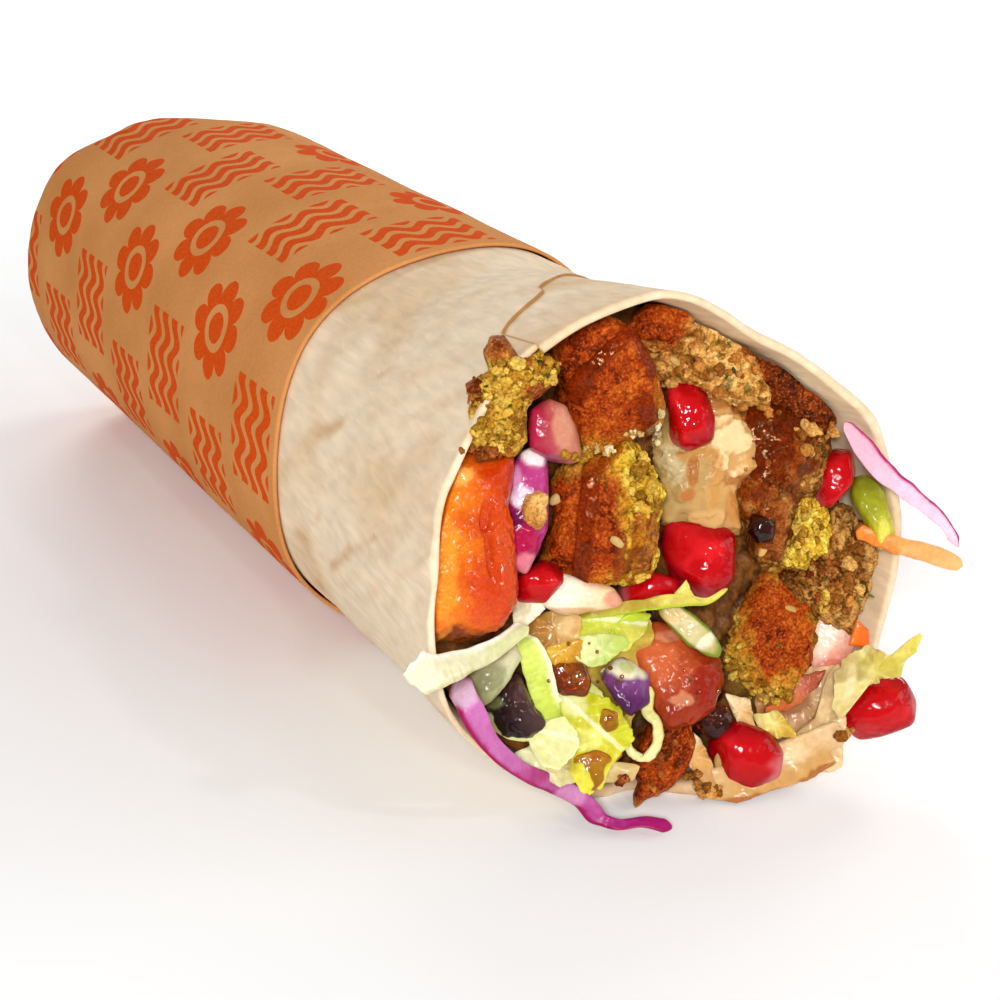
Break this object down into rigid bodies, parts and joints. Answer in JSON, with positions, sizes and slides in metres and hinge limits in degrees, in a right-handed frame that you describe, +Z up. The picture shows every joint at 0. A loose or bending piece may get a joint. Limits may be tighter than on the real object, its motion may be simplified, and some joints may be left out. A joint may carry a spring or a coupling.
{
  "type": "falafel wrap",
  "caption": "Falafel wrap lying on its side: a rolled flour tortilla in a paper sleeve, the open mouth filled with falafel, roast vegetables, salad, fruit seeds and sauce.",
  "frame": {"origin": "middle of the whole wrap's footprint, on the surface it lies on", "axes": "+Z up; the roll lies along Y, with the sleeve's closed end towards +Y and the open mouth towards -Y; +X is to the right seen from the mouth"},
  "size_m": [0.0982, 0.2148, 0.0811],
  "materials": {
    "printed_paper": null,
    "tortilla": "soft wheat tortilla, cream with faint golden toasting, matte",
    "mixed_filling": "crumbled falafel, salad and sauce behind the mouth",
    "falafel_crust": "fried crust, grainy brown, glossy where sauce lies on it",
    "falafel_crumb": "broken falafel, moist yellow-brown crumb with herbs",
    "sweet_potato": "roasted sweet potato, glossy orange with a dark crisp end",
    "carrot": "raw carrot shred, moist orange",
    "pickled_onion": "pickled red onion, translucent pink to white",
    "red_cabbage": "pickled red cabbage, magenta edges and a pale body",
    "pomegranate": "pomegranate aril, clear ruby red and wet",
    "tahini_sauce": "tahini sauce, creamy beige with brown smears",
    "pickled_pepper": "pickled pepper, glossy yellow-green",
    "tomato": "tomato flesh, salmon red and wet",
    "lettuce": "shredded lettuce, pale yellow-green, translucent",
    "cucumber": "pickled cucumber slice, translucent olive-grey",
    "aubergine": "fried aubergine, dark brown and oily"
  },
  "bodies": {
    "root": {"aubergine_piece": "aubergine", "carrot_shred_low": "carrot", "carrot_shred_right": "carrot", "cucumber_slice": "cucumber", "falafel_bottom_bit": "falafel_crust", "falafel_broken_gold": "falafel_crumb", "falafel_crumble_left": "falafel_crumb", "falafel_dark_crust": "falafel_crust", "falafel_glazed": "falafel_crust", "falafel_lower_right": "falafel_crust", "falafel_middle": "falafel_crust", "falafel_right": "falafel_crumb", "falafel_top_bit": "falafel_crust", "falafel_upper_left": "falafel_crust", "falafel_yellow_bit": "falafel_crumb", "filling_core": "mixed_filling", "lettuce_heap": "lettuce", "lettuce_leaf_right": "lettuce", "lettuce_strip_left": "lettuce", "onion_pink_slice": "pickled_onion", "onion_purple_dice": "pickled_onion", "onion_rib_white": "pickled_onion", "paper_sleeve": "printed_paper", "pickled_onion_dice": "pickled_onion", "pickled_pepper": "pickled_pepper", "pomegranate_aril_edge": "pomegranate", "pomegranate_aril_left": "pomegranate", "pomegranate_aril_lip": "pomegranate", "pomegranate_aril_low": "pomegranate", "pomegranate_aril_middle": "pomegranate", "pomegranate_aril_right": "pomegranate", "pomegranate_aril_top": "pomegranate", "red_cabbage_core": "red_cabbage", "red_cabbage_strand_bottom": "red_cabbage", "red_cabbage_strand_right": "red_cabbage", "sweet_potato_wedge": "sweet_potato", "tahini_pool": "tahini_sauce", "tomato_dice": "tomato", "tortilla": "tortilla"}
  },
  "joints": []
}
